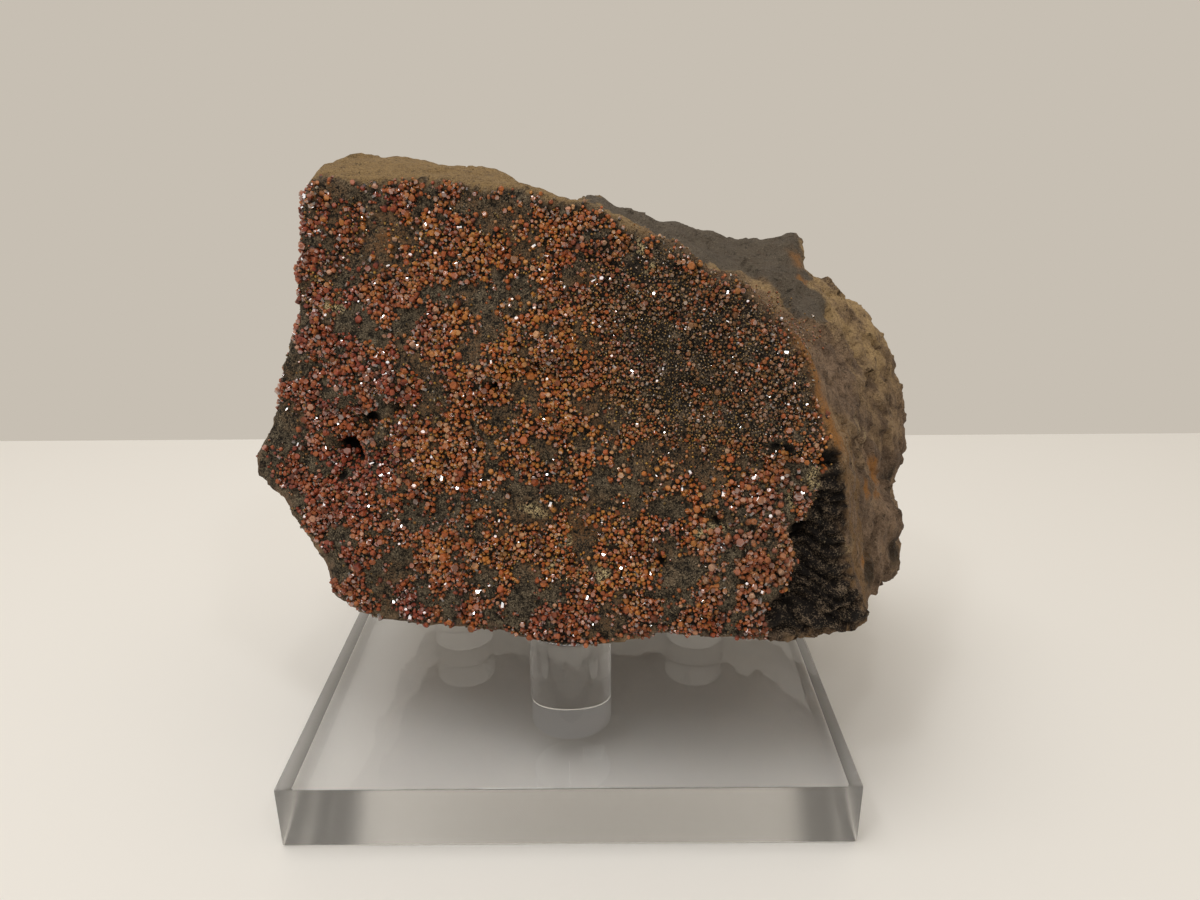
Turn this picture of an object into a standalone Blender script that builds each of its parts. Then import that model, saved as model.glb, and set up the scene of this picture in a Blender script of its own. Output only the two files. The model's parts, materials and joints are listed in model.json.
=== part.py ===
"""A vanadinite specimen, red crystals fused on a lump of matrix, on a clear stand with three posts.

Metres, +Z up. The origin is the centre of the underside of the stand's base, and the crystal
face looks towards -Y.
"""
import math
import random

import bmesh
import bpy
import numpy as np
from mathutils import Matrix, Vector, noise
from mathutils.bvhtree import BVHTree

MM = 0.001

BASE_SIDE = 100 * MM
BASE_THICKNESS = 12 * MM
BASE_EDGE = 0.4 * MM
POST_DIAMETER = 15 * MM
POST_HEIGHT = 20 * MM
POST_EDGE = 0.4 * MM
POST_SIDES = 32
GAP = 0.3 * MM

# Where the posts stand on the base, in millimetres.
POSTS = {"front_post": (0, -30), "rear_post_left": (-30, 30), "rear_post_right": (30, 30)}
REST_HEIGHT = BASE_THICKNESS + POST_HEIGHT + GAP

# Five outlines of the lump from front to back, as (x, y, z) in millimetres, clockwise as seen
# from the front and starting at the top left corner of the crystal face.
CRYSTAL_RIM = [
    (-44.5, -11, 107), (-42.5, -11, 108.5), (-38.5, -12, 108.5), (-28.5, -14, 109), (-21.5, -15.5, 109),
    (-15, -17, 108), (-7, -19, 107.5), (-1.5, -20.5, 106), (5, -22, 105), (8.5, -23, 103),
    (13.5, -24, 100.5), (18, -25, 99.5), (21, -26, 97.5), (23, -26.5, 95.5), (27, -27, 94.5),
    (29.5, -27.5, 93), (31.5, -28, 91), (35, -29, 87.5), (38, -30, 84), (40, -30.5, 81),
    (41.5, -31.5, 75), (43.5, -33, 70), (45.5, -34, 65.5), (47, -34.5, 60), (47, -35, 54),
    (47.5, -36, 47.5), (49.5, -37, 41.5), (52, -37.5, 36), (48, -39, 36), (42.5, -40, 35.5),
    (35.5, -41.5, 35), (29, -41.5, 36), (15.5, -39.5, 36), (11.5, -39, 34.5), (6, -38, 33),
    (1.5, -37.5, 32.7), (-4, -36.5, 33), (-10.5, -34.5, 33.4), (-16.5, -33, 33), (-23.5, -31.5, 33.2),
    (-31, -30, 32.8), (-35, -29, 33), (-39.5, -28, 34), (-43, -26.5, 36), (-44, -25.5, 39.5),
    (-45.5, -24.5, 44), (-48.5, -23, 47), (-50.5, -22, 51), (-51.5, -21, 53.5), (-55, -19.5, 55),
    (-59, -18.5, 57), (-57, -18, 61), (-54.5, -17.5, 64.5), (-52.5, -17, 68.5), (-51, -16, 76),
    (-49, -15.5, 81), (-46.5, -15, 86), (-47, -14, 90.5), (-46, -13, 96), (-45, -12, 101.5),
]
FRONT_SHOULDER = [
    (-47, -4, 106), (-43, -4, 110.8), (-38, -5, 111.2), (-28, -6, 111), (-21, -7, 110), (-14, -8, 108.7),
    (-7, -9, 107), (-1, -10, 104.5), (6, -11, 102.5), (14, -12, 98), (20, -12, 94), (26, -12, 90),
    (33, -12, 86.5), (40, -12, 84), (46, -12, 81), (50, -12, 76.5), (53, -12, 70), (56, -13, 62),
    (59, -14, 54), (62, -15, 46), (64.5, -15, 38), (64, -17, 34.5), (55, -20, 34.5), (45, -20, 34.5),
    (30, -20, 34.5), (0, -20, 34), (-30, -18, 34), (-42, -17, 35), (-47, -15, 41), (-51, -14, 48),
    (-56, -12, 55), (-57, -11, 60), (-54, -10, 66), (-51, -9, 75), (-49, -8, 84), (-47.5, -6, 95),
]
SHOULDER = [
    (-46, 2, 106), (-43, 2, 111), (-39, 2, 112), (-32, 2, 111.5), (-27, 2, 111), (-24.5, 2, 110),
    (-18, 2, 109.5), (-12.5, 2, 109), (-9, 3, 106), (-2, 6, 102), (5, 14, 101.5), (13.5, 14, 99),
    (16.5, 14, 98), (21, 14, 98.5), (30, 14, 96), (32, 14, 94.5), (38, 14, 94.5), (45, 14, 95),
    (46.5, 14, 93.5), (49, 14, 87.5), (52, 14, 86.5), (55, 14, 84), (59, 14, 81.5), (64.5, 14, 76.5),
    (67, 14, 73.5), (68, 14, 69), (69, 14, 65.5), (71, 14, 58.5), (71.5, 13, 54), (71, 11, 48),
    (69, 8, 45.5), (68, 2, 41), (68.5, -1, 37), (66, -3, 34.5), (60, 0, 34), (45, 2, 34),
    (30, 0, 34), (0, 0, 34), (-30, 0, 34), (-42, 2, 36), (-48, 2, 44), (-52, 2, 54), (-53, 2, 62),
    (-50, 2, 72), (-47, 2, 84), (-46, 2, 96),
]
BACK_SHOULDER = [
    (-41, 28, 100), (-30, 30, 103), (-15, 30, 101), (0, 30, 97), (15, 31, 94), (30, 31, 91),
    (42, 31, 85), (53, 30, 76), (60, 29, 66), (61, 28, 55), (57, 28, 43), (48, 29, 36),
    (30, 30, 34), (0, 30, 34), (-30, 30, 34), (-41, 30, 35), (-47, 28, 46), (-48, 27, 60),
    (-46, 27, 75), (-44, 27, 90),
]
BACK_RIM = [
    (-32, 39, 88), (-15, 41, 91), (5, 42, 87), (25, 41, 81), (40, 40, 71), (47, 39, 59),
    (44, 39, 46), (39, 40, 38), (20, 41, 36), (0, 42, 36), (-20, 42, 36), (-37, 41, 37),
    (-42, 39, 50), (-41, 39, 65), (-37, 39, 78),
]
LUMP_AXIS = (6, 68)
FACE_CENTRE = (-2, 70)
BACK_CENTRE = (4, 45, 62)

# The crystal face leans back and turns a little to the left: y = a + b * x + c * (z - 32), in
# millimetres.
FACE_PLANE = (-36.5, -0.18, 0.21)
# Hollows, and lumps where the depth is negative: x, z, radius and depth in millimetres.
FACE_RELIEF = [
    (-41, 62, 3.6, 2.6), (-35, 61, 2.6, 2.2), (-38, 68, 3.2, 2.0), (-29, 57, 3.4, 2.2),
    (-24, 53, 2.8, 1.6), (-28, 42, 4.6, 1.8), (9, 87, 3.6, 1.5), (-15, 92, 8, 0.9),
    (-36, 97, 7, 0.9), (33, 63, 3.4, 2.0), (20, 51, 2.4, 1.6), (40, 50, 7, 2.2),
    (26, 46, 9, -2.2), (-16, 78, 7, -1.4), (-2, 50, 10, 1.3), (22, 78, 12, 1.0),
    (-33, 78, 8, -1.2), (10, 62, 8, -0.8), (-40, 47, 7, -1.2),
]
# Ledges on the crystal face, as two ends (x, z), a height and a width in millimetres.
FACE_LEDGES = [((-24, 77), (1, 82), 1.6, 9), ((32, 67), (44, 66), 1.8, 6), ((30, 52), (38, 49), 1.6, 7)]

LOFT_SIDES = 96
FACE_RINGS = 14
SIDE_RINGS = (5, 6, 9, 6)
BACK_RINGS = 8
VOXEL = 1.7 * MM
LUMP_TRIANGLES = 3300
# Broken facets on the back and sides: their breadth, and how far they tilt, in millimetres.
CHIP_SIZE = 14
CHIP_SLOPE = 3.2

CRYSTAL_COUNT = 200
CRYSTAL_SPACING = 3.9
CRYSTAL_RADIUS = (1.0, 1.7)
CRYSTAL_PROUD = (0.9, 1.6)
CRYSTAL_ROOT = 1.8
CRYSTAL_SEED = 11


def clear_scene():
    for item in list(bpy.data.objects):
        bpy.data.objects.remove(item, do_unlink=True)


def new_collection(name, helper=False):
    collection = bpy.data.collections.new(name)
    collection.hide_render = helper
    bpy.context.scene.collection.children.link(collection)
    return collection


def new_material(name, color, roughness, transmission=0.0, ior=1.5):
    material = bpy.data.materials.new(name)
    material.use_nodes = True
    shader = material.node_tree.nodes["Principled BSDF"]
    shader.inputs["Base Color"].default_value = (*color, 1)
    shader.inputs["Roughness"].default_value = roughness
    shader.inputs["Metallic"].default_value = 0
    shader.inputs["Transmission Weight"].default_value = transmission
    shader.inputs["IOR"].default_value = ior
    return material


def new_object(name, mesh, collection):
    result = bpy.data.objects.new(name, mesh)
    collection.objects.link(result)
    return result


def mesh_from(bm, name):
    mesh = bpy.data.meshes.new(name)
    bm.to_mesh(mesh)
    bm.free()
    return mesh


def bake(obj):
    """Replaces the object's mesh by the one that its modifiers make."""
    bpy.context.view_layer.update()
    graph = bpy.context.evaluated_depsgraph_get()
    mesh = bpy.data.meshes.new_from_object(obj.evaluated_get(graph))
    obj.modifiers.clear()
    obj.data = mesh


def smoothstep(low, high, value):
    part = min(1.0, max(0.0, (value - low) / (high - low)))
    return part * part * (3 - 2 * part)


# The stand


def make_base(collection, material):
    bm = bmesh.new()
    bmesh.ops.create_cube(bm, size=1)
    bmesh.ops.scale(bm, verts=bm.verts, vec=(BASE_SIDE, BASE_SIDE, BASE_THICKNESS))
    base = new_object("stand_base", mesh_from(bm, "stand_base"), collection)
    base.location.z = BASE_THICKNESS / 2
    edges = base.modifiers.new("edges", "BEVEL")
    edges.width = BASE_EDGE
    edges.segments = 1
    base.data.materials.append(material)


def make_post(name, place, collection, material):
    """A round rod with a small chamfer at its top, on the base."""
    bottom = BASE_THICKNESS + GAP
    height = BASE_THICKNESS + POST_HEIGHT - bottom
    bm = bmesh.new()
    bmesh.ops.create_cone(
        bm,
        cap_ends=True,
        segments=POST_SIDES,
        radius1=POST_DIAMETER / 2,
        radius2=POST_DIAMETER / 2,
        depth=height,
    )
    top = [edge for edge in bm.edges if all(vert.co.z > 0 for vert in edge.verts)]
    bmesh.ops.bevel(bm, geom=top, offset=POST_EDGE, segments=1, affect="EDGES")
    post = new_object(name, mesh_from(bm, name), collection)
    post.location = (place[0] * MM, place[1] * MM, bottom + height / 2)
    post.data.shade_smooth()
    post.data.set_sharp_from_angle(angle=math.radians(30))
    post.data.materials.append(material)


# The lump of matrix


def face_depth(x, z):
    """The y of the crystal face, in millimetres, with its hollows, lumps and ledges."""
    y = FACE_PLANE[0] + FACE_PLANE[1] * x + FACE_PLANE[2] * (z - 32)
    for centre_x, centre_z, radius, depth in FACE_RELIEF:
        y += depth * math.exp(-((x - centre_x) ** 2 + (z - centre_z) ** 2) / radius**2)
    for (x1, z1), (x2, z2), height, width in FACE_LEDGES:
        along = (x - x1) / (x2 - x1)
        above = z - (z1 + (z2 - z1) * along)
        ends = smoothstep(-0.15, 0.1, along) * smoothstep(1.15, 0.9, along)
        y -= height * ends * smoothstep(-0.8, 0.6, above) * math.exp(-((max(above, 0) / width) ** 2))
    return y


def ring_at(outline, centre, sides):
    """Points of a closed outline at equal steps of angle round a centre (x, z)."""
    points = np.array(outline, float)
    angles = np.arctan2(points[:, 2] - centre[1], points[:, 0] - centre[0])
    steps = np.linspace(math.pi, -math.pi, sides, endpoint=False)
    return np.stack([np.interp(steps, angles, points[:, k], period=2 * math.pi) for k in range(3)], 1)


def face_rings(rim):
    """Rings of the crystal face, from near its centre to its rim."""
    rings = []
    for step in range(1, FACE_RINGS):
        share = step / FACE_RINGS
        ring = []
        for x, y, z in rim:
            place_x = FACE_CENTRE[0] + (x - FACE_CENTRE[0]) * share
            place_z = FACE_CENTRE[1] + (z - FACE_CENTRE[1]) * share
            depth = face_depth(place_x, place_z)
            ring.append((place_x, depth + (y - depth) * share**5, place_z))
        rings.append(ring)
    return rings


def lump_rings():
    """All rings of the lump from the middle of the crystal face to the middle of the back."""
    outlines = (CRYSTAL_RIM, FRONT_SHOULDER, SHOULDER, BACK_SHOULDER, BACK_RIM)
    stages = [ring_at(outline, LUMP_AXIS, LOFT_SIDES) for outline in outlines]
    rings = face_rings(stages[0])
    for start, end, count in zip(stages, stages[1:], SIDE_RINGS):
        rings += [start + (end - start) * step / count for step in range(count)]
    back_rim = stages[-1]
    centre = np.array(BACK_CENTRE, float)
    for step in range(BACK_RINGS):
        share = step / BACK_RINGS
        ring = back_rim + (centre - back_rim) * share
        ring[:, 1] = back_rim[:, 1] + (centre[1] - back_rim[:, 1]) * math.sin(share * math.pi / 2)
        rings.append(ring)
    return rings


def loft_lump():
    """A closed mesh through the rings, with a point at each end."""
    bm = bmesh.new()
    face_middle = (FACE_CENTRE[0], face_depth(*FACE_CENTRE), FACE_CENTRE[1])
    front = bm.verts.new(Vector(face_middle) * MM)
    loops = [[bm.verts.new(Vector(point) * MM) for point in ring] for ring in lump_rings()]
    back = bm.verts.new(Vector(BACK_CENTRE) * MM)
    for side in range(LOFT_SIDES):
        after = (side + 1) % LOFT_SIDES
        bm.faces.new((front, loops[0][side], loops[0][after]))
        bm.faces.new((back, loops[-1][after], loops[-1][side]))
        for inner, outer in zip(loops, loops[1:]):
            bm.faces.new((inner[side], outer[side], outer[after], inner[after]))
    bmesh.ops.recalc_face_normals(bm, faces=bm.faces)
    return mesh_from(bm, "vanadinite_matrix")


def roughness_at(point):
    """How far the broken rock stands in or out at a point in millimetres."""
    back = smoothstep(-30, 0, point.y - 0.21 * (point.z - 32) + 0.18 * point.x)
    broad = noise.fractal(point / 16 + Vector((3, 1, 7)), 0.9, 2.1, 3) * (0.35 + 1.2 * back)
    corners = noise.voronoi(point / CHIP_SIZE)[1]
    slope = noise.cell_vector(corners[0] * 7) - Vector((0.5, 0.5, 0.5))
    chip = (point / CHIP_SIZE - corners[0]).dot(slope) * CHIP_SLOPE * back
    fine = noise.fractal(point / 4.5, 1, 2, 2) * (0.35 + 0.2 * back)
    return 0.4 + broad + chip + fine


def near_post(point):
    """1 over the middle of a post, falling to 0 away from it."""
    nearest = min(math.hypot(point.x - x, point.y - y) for x, y in POSTS.values())
    return 1 - smoothstep(7, 15, nearest)


def roughen(mesh):
    """Breaks up the surface, and brings the underside down onto the posts."""
    lowest = REST_HEIGHT / MM
    moved = []
    for vert in mesh.vertices:
        point = vert.co / MM
        point += Vector(vert.normal) * roughness_at(point)
        height = max(point.z - lowest, 0.15 * math.exp(min(point.z - lowest, 0)))
        kept = 1 - 0.97 * near_post(point) * (1 - smoothstep(2, 9, height))
        point.z = lowest + height * kept
        moved.append(point * MM)
    for vert, place in zip(mesh.vertices, moved):
        vert.co = place
    mesh.update()


def make_lump(collection, material):
    lump = new_object("vanadinite_matrix", loft_lump(), collection)
    even = lump.modifiers.new("even", "REMESH")
    even.mode = "VOXEL"
    even.voxel_size = VOXEL
    bake(lump)
    roughen(lump.data)
    calmer = lump.modifiers.new("calmer", "SMOOTH")
    calmer.factor = 0.5
    calmer.iterations = 2
    bake(lump)
    lump.data.calc_loop_triangles()
    fewer = lump.modifiers.new("fewer", "DECIMATE")
    fewer.ratio = LUMP_TRIANGLES / len(lump.data.loop_triangles)
    bake(lump)
    lump.data.materials.clear()
    lump.data.materials.append(material)
    return lump


# The crystals


def crystal_places(tree, draw):
    """Points of the crystal face with their normals, no two nearer than the spacing."""
    places = []
    while len(places) < CRYSTAL_COUNT:
        x = draw.uniform(-54, 46)
        z = draw.uniform(35, 108)
        bare = x > 33 and z < 62 - (x - 33)
        start = Vector((x, -90, z)) * MM
        hit, normal, _, _ = tree.ray_cast(start, Vector((0, 1, 0)))
        if bare or hit is None or normal.y > -0.72 or hit.y > -9 * MM:
            continue
        if all((hit - other).length > CRYSTAL_SPACING * MM for other, _ in places):
            places.append((hit, normal))
    return places


def add_crystal(bm, place, normal, draw):
    """A six-sided prism with a bevelled end, rooted in the rock."""
    radius = draw.uniform(*CRYSTAL_RADIUS) * MM
    proud = draw.uniform(*CRYSTAL_PROUD) * MM
    root = CRYSTAL_ROOT * MM
    tilt = Vector((draw.uniform(-1, 1), draw.uniform(-1, 1), draw.uniform(-1, 1))) * 0.45
    turn = (normal + tilt).to_track_quat("Z", "X").to_matrix().to_4x4()
    turn = turn @ Matrix.Rotation(draw.uniform(0, math.pi), 4, "Z")
    made = bmesh.ops.create_cone(
        bm,
        cap_ends=True,
        segments=6,
        radius1=radius,
        radius2=radius,
        depth=root + proud,
        matrix=Matrix.Translation(place) @ turn @ Matrix.Translation((0, 0, (proud - root) / 2)),
    )
    axis = turn.to_3x3() @ Vector((0, 0, 1))
    for vert in made["verts"]:
        if (vert.co - place).dot(axis) > 0:
            foot = place + axis * proud
            vert.co = foot + (vert.co - foot) * 0.72


def fuse_crystals(lump, collection, helpers, material):
    """Joins all the crystals to the lump, so that the specimen is one solid."""
    draw = random.Random(CRYSTAL_SEED)
    tree = BVHTree.FromObject(lump, bpy.context.evaluated_depsgraph_get())
    bm = bmesh.new()
    for place, normal in crystal_places(tree, draw):
        add_crystal(bm, place, normal, draw)
    crystals = new_object("crystals_to_fuse", mesh_from(bm, "crystals_to_fuse"), helpers)
    crystals.hide_render = True
    crystals.display_type = "WIRE"
    crystals.data.materials.append(material)
    union = lump.modifiers.new("crystals", "BOOLEAN")
    union.operation = "UNION"
    union.object = crystals
    union.material_mode = "TRANSFER"


def main():
    clear_scene()
    specimen = new_collection("vanadinite_specimen")
    helpers = new_collection("cutters", helper=True)
    acrylic = new_material("clear_acrylic", (1, 1, 1), 0.03, transmission=1, ior=1.49)
    matrix = new_material("matrix_rock", (0.06, 0.045, 0.03), 0.85)
    vanadinite = new_material("vanadinite", (0.3, 0.06, 0.02), 0.3)
    make_base(specimen, acrylic)
    for name, place in POSTS.items():
        make_post(name, place, specimen, acrylic)
    lump = make_lump(specimen, matrix)
    fuse_crystals(lump, specimen, helpers, vanadinite)


main()
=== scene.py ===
import json
import math

import bmesh
import bpy
import numpy as np
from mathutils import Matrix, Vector, noise
from mathutils.kdtree import KDTree

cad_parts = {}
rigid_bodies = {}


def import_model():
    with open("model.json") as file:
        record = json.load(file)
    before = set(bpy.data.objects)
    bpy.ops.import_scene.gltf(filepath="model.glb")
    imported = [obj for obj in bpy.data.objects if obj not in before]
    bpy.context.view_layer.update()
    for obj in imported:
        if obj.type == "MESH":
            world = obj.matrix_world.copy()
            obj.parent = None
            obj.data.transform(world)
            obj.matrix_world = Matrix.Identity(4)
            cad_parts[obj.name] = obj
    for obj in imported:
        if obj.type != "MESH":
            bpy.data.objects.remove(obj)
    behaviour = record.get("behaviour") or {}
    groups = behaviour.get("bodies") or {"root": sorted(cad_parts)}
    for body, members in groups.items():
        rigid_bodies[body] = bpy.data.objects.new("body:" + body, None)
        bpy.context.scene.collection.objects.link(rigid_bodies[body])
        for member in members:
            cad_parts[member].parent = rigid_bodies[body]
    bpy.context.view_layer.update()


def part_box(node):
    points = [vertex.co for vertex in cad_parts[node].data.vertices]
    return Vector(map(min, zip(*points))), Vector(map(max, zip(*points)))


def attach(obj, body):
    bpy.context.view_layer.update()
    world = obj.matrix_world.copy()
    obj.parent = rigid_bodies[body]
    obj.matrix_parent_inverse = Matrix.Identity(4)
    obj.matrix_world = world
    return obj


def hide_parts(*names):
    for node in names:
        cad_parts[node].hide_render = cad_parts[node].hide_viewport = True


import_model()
mm = 0.001
rods = ("front_post", "rear_post_left", "rear_post_right")


# Small helpers

def smoothStep(low, high, value):
    share = np.clip((value - low) / (high - low), 0, 1)
    return share * share * (3 - 2 * share)


def linear(channel):
    return ((channel / 255 + 0.055) / 1.055) ** 2.4 if channel > 10 else channel / 3295


def rgb(red, green, blue):  # a screen colour, 0 to 255, as the linear colour that a shader takes
    return (linear(red), linear(green), linear(blue), 1)


def meshFrom(bm, name):
    mesh = bpy.data.meshes.new(name)
    bm.to_mesh(mesh)
    bm.free()
    return mesh


def newObject(name, mesh):
    made = bpy.data.objects.new(name, mesh)
    bpy.context.scene.collection.objects.link(made)
    return made


def bake(obj):  # turns the modifiers into plain mesh
    bpy.context.view_layer.update()
    mesh = bpy.data.meshes.new_from_object(obj.evaluated_get(bpy.context.evaluated_depsgraph_get()))
    obj.modifiers.clear()
    obj.data = mesh
    return obj


def dropObject(obj):
    bpy.data.objects.remove(obj, do_unlink=True)


# Shader maths as expressions

class Wire:
    def __init__(self, finish, socket):
        self.finish = finish
        self.socket = socket

    def joined(self, operation, *values):
        return self.finish.node("ShaderNodeMath", {"operation": operation}, dict(enumerate(values)))

    def __add__(self, other):
        return self.joined("ADD", self, other)

    def __radd__(self, other):
        return self.joined("ADD", other, self)

    def __rsub__(self, other):
        return self.joined("SUBTRACT", other, self)

    def __mul__(self, other):
        return self.joined("MULTIPLY", self, other)

    def __rmul__(self, other):
        return self.joined("MULTIPLY", other, self)

    def clamped(self):
        return self.finish.node("ShaderNodeClamp", {}, {0: self})


class Finish:
    def __init__(self, name):
        self.material = bpy.data.materials.new(name)
        self.material.use_nodes = True
        self.nodes = self.material.node_tree.nodes
        self.links = self.material.node_tree.links
        self.shader = self.nodes["Principled BSDF"]

    def put(self, socket, value):
        if isinstance(value, Wire):
            self.links.new(value.socket, socket)
        else:
            socket.default_value = value

    def node(self, kind, settings, values, output=0):
        made = self.nodes.new(kind)
        for key, value in settings.items():
            setattr(made, key, value)
        for key, value in values.items():
            self.put(made.inputs[key], value)
        return Wire(self, made.outputs[output])

    def place(self):
        return self.node("ShaderNodeTexCoord", {}, {}, "Object")

    def noise(self, size, detail=3, roughness=0.6, place=None):  # size in metres
        values = {"Vector": place or self.place(), "Scale": 1 / size, "Detail": detail,
                  "Roughness": roughness}
        return self.node("ShaderNodeTexNoise", {}, values)

    def attribute(self, name):
        return self.node("ShaderNodeAttribute", {"attribute_name": name}, {}, "Fac")

    def ramp(self, value, low, high):  # 0 below low, 1 above high, smooth between
        values = {"Value": value, "From Min": low, "From Max": high}
        return self.node("ShaderNodeMapRange", {"interpolation_type": "SMOOTHSTEP"}, values)

    def mix(self, share, first, second):
        return self.node("ShaderNodeMix", {"data_type": "RGBA"}, {0: share, 6: first, 7: second}, 2)

    def bump(self, height, distance, strength=1.0):
        values = {"Height": height, "Distance": distance, "Strength": strength}
        return self.node("ShaderNodeBump", {}, values)

    def set(self, **values):
        for key, value in values.items():
            self.put(self.shader.inputs[key.replace("_", " ")], value)
        return self.material


# The camera stands where the photographer's did
camera = {"place": (0.0057, -0.1713, 0.1181), "lens": 26.7, "sensor": 36, "down": 20.37, "roll": -0.38}


def makeCamera():
    made = bpy.data.objects.new("camera", bpy.data.cameras.new("camera"))
    bpy.context.scene.collection.objects.link(made)
    made.location = camera["place"]
    made.rotation_euler = (math.radians(90 - camera["down"]), 0, 0)
    made.rotation_euler.rotate_axis("Z", math.radians(camera["roll"]))
    made.data.sensor_width = camera["sensor"]
    made.data.lens = camera["lens"]
    made.data.clip_start = 0.01
    bpy.context.scene.camera = made


makeCamera()
print("camera ready")


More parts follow.
